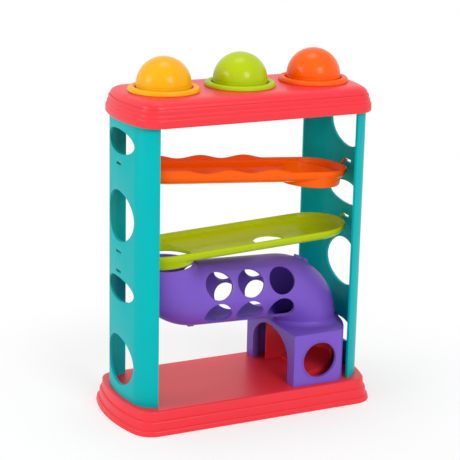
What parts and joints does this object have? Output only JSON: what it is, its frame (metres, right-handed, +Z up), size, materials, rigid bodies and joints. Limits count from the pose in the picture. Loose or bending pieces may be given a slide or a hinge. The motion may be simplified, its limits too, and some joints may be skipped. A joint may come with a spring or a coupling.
{
  "type": "pound and roll tower",
  "caption": "Toy tower: balls are hammered through soft rings in a red roof, then roll down ramps and a windowed tube to an exit arch on the base",
  "frame": {"origin": "bottom centre of the base, on the floor", "axes": "+Z up, +X towards the exit block, +Y towards the back"},
  "size_m": [0.254, 0.121, 0.328],
  "materials": {
    "red_shell": "gloss",
    "teal_wall": "satin gloss",
    "orange_ramp": "gloss",
    "lime_ramp": "gloss",
    "purple_tube": "satin gloss",
    "ring_yellow": "soft gloss",
    "ring_green": "soft gloss",
    "ring_orange": "soft gloss",
    "ball_yellow": "gloss",
    "ball_green": "gloss",
    "ball_orange": "gloss",
    "screw_steel": "plain"
  },
  "bodies": {
    "tower": {"base_tray": "red_shell", "ball_scoop": "red_shell", "right_wall": "teal_wall", "left_wall": "teal_wall", "roof_frame": "red_shell", "roof_cap": "red_shell", "upper_ramp": "orange_ramp", "lower_ramp": "lime_ramp", "tube_front_shell": "purple_tube", "tube_back_shell": "purple_tube", "exit_block": "purple_tube", "ring_yellow": "ring_yellow", "ring_green": "ring_green", "ring_orange": "ring_orange", "roof_screw_1": "screw_steel", "roof_screw_2": "screw_steel", "roof_screw_3": "screw_steel", "roof_screw_4": "screw_steel", "block_screw_1": "screw_steel", "block_screw_2": "screw_steel", "scoop_screw": "screw_steel"},
    "yellow_ball": {"ball_yellow": "ball_yellow"},
    "green_ball": {"ball_green": "ball_green"},
    "orange_ball": {"ball_orange": "ball_orange"}
  },
  "joints": [
    {"name": "yellow_ball_drop", "type": "slide", "parent": "tower", "child": "yellow_ball", "axis": [0, 0, 1], "range_m": [-0.059, 0.05], "deforming": ["ring_yellow"]},
    {"name": "green_ball_drop", "type": "slide", "parent": "tower", "child": "green_ball", "axis": [0, 0, 1], "range_m": [-0.0645, 0.05], "deforming": ["ring_green"]},
    {"name": "orange_ball_drop", "type": "slide", "parent": "tower", "child": "orange_ball", "axis": [0, 0, 1], "range_m": [-0.125, 0.05], "deforming": ["ring_orange"]}
  ]
}
